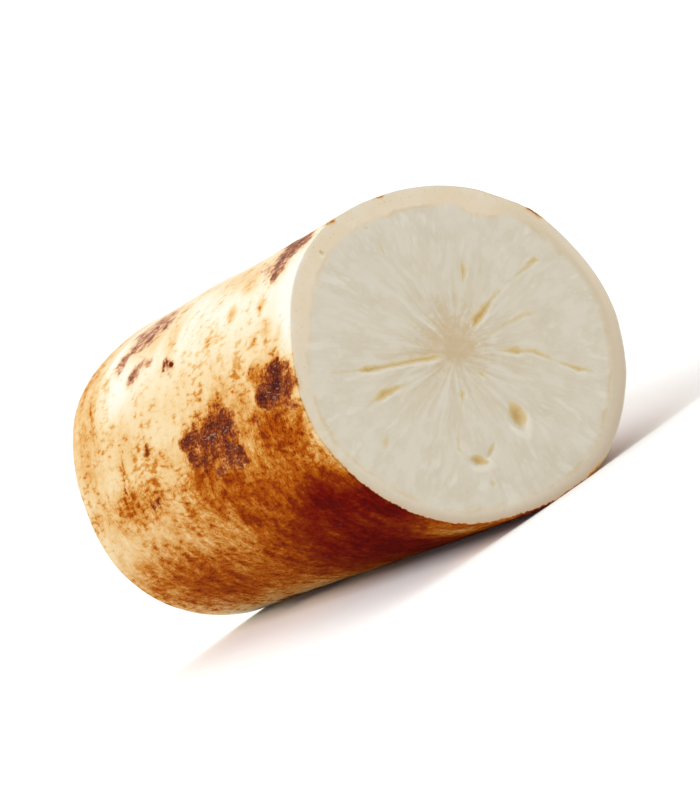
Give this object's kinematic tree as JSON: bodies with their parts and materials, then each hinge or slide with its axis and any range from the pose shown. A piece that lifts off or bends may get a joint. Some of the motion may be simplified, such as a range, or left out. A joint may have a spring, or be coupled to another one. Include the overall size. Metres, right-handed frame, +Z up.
{
  "type": "taro root",
  "caption": "Cut length of thick taro root, nearly round and slightly tapering, with a slanted cut face, a square cut end and a narrow flat to lie on.",
  "frame": {"origin": "on the surface that the root lies on, below the middle of its bounding box", "axes": "+Z up, +Y along the root from its near, slanted cut to its far, square cut"},
  "size_m": [0.08, 0.1546, 0.0783],
  "materials": {
    "root": "thin ochre skin with brown blotches and scars, damp cream flesh on the cut ends"
  },
  "bodies": {
    "root": {"taro_root": "root"}
  },
  "joints": []
}
